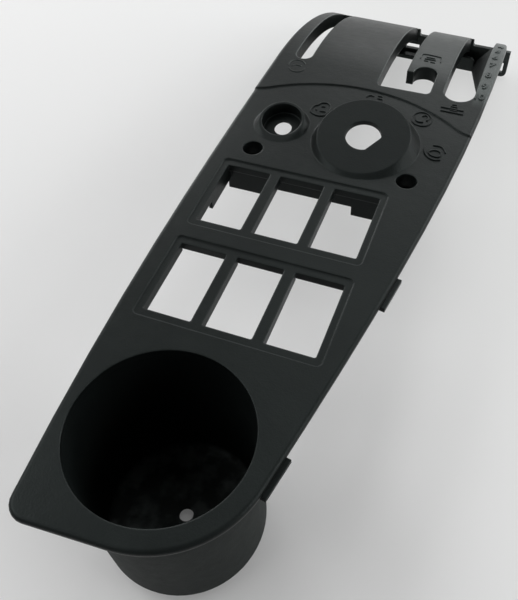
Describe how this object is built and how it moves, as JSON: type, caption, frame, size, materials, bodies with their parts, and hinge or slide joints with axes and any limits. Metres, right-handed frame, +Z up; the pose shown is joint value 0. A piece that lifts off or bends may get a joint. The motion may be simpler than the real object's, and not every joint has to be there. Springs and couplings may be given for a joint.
{
  "type": "mower dashboard",
  "caption": "Moulded dashboard panel of a riding mower with a deep cup well, switch openings, key well, slanted switch boss and a rolled, slotted far end.",
  "frame": {"origin": "midway between the two fixing screws, on the seats under their heads", "axes": "+X across the panel to its right, +Y along the panel from the cup to the rolled end, +Z up out of the top face"},
  "size_m": [0.1156, 0.3605, 0.0846],
  "materials": {
    "panel_plastic": "fine-grained dark grey moulding"
  },
  "bodies": {
    "root": {"dash_panel": "panel_plastic"}
  },
  "joints": []
}
